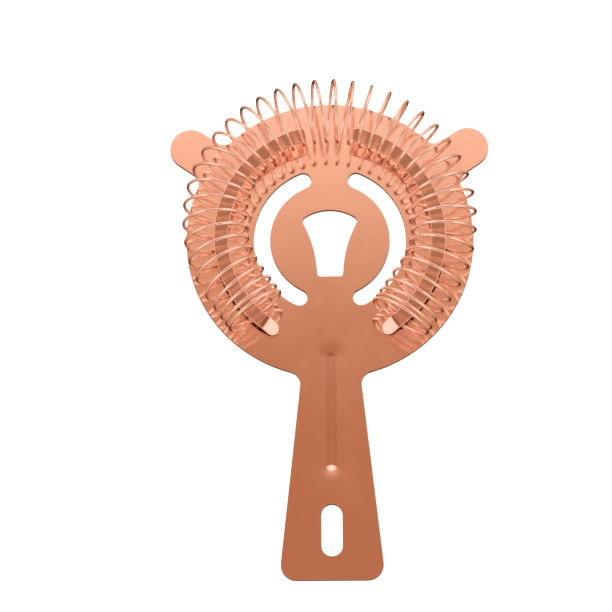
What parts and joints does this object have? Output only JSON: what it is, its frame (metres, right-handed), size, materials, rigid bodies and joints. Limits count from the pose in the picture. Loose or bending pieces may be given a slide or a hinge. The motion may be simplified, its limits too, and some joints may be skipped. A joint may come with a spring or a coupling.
{
  "type": "hawthorne strainer",
  "caption": "Copper-coloured hawthorne strainer: a flat two-eared disc with a handle, curved slots, two retaining arms and a coil spring round its front.",
  "frame": {"origin": "bottom centre of the whole strainer's bounding box, under the disc's middle line; the lowest point is the back of the handle's pressed bead", "axes": "+Z out of the face that carries the spring, +Y from the handle towards the front of the spring, X across the two ears"},
  "size_m": [0.0904, 0.1438, 0.0203],
  "materials": {
    "plate_copper": "mirror-polished copper-coloured plating on stainless steel sheet",
    "arm_copper": "polished copper-coloured plating on stainless steel strip",
    "spring_wire_copper": "bright copper-coloured plating on hard spring wire"
  },
  "bodies": {
    "plate": {"strainer_plate": "plate_copper", "retaining_arm_left": "arm_copper", "retaining_arm_right": "arm_copper"},
    "spring": {"coil_spring": "spring_wire_copper"}
  },
  "joints": [
    {"name": "spring_press", "type": "slide", "parent": "plate", "child": "spring", "axis": [0, -1, 0], "range_m": [0, 0.006], "stiffness_N_per_m": 400, "deforming": ["coil_spring"]}
  ]
}
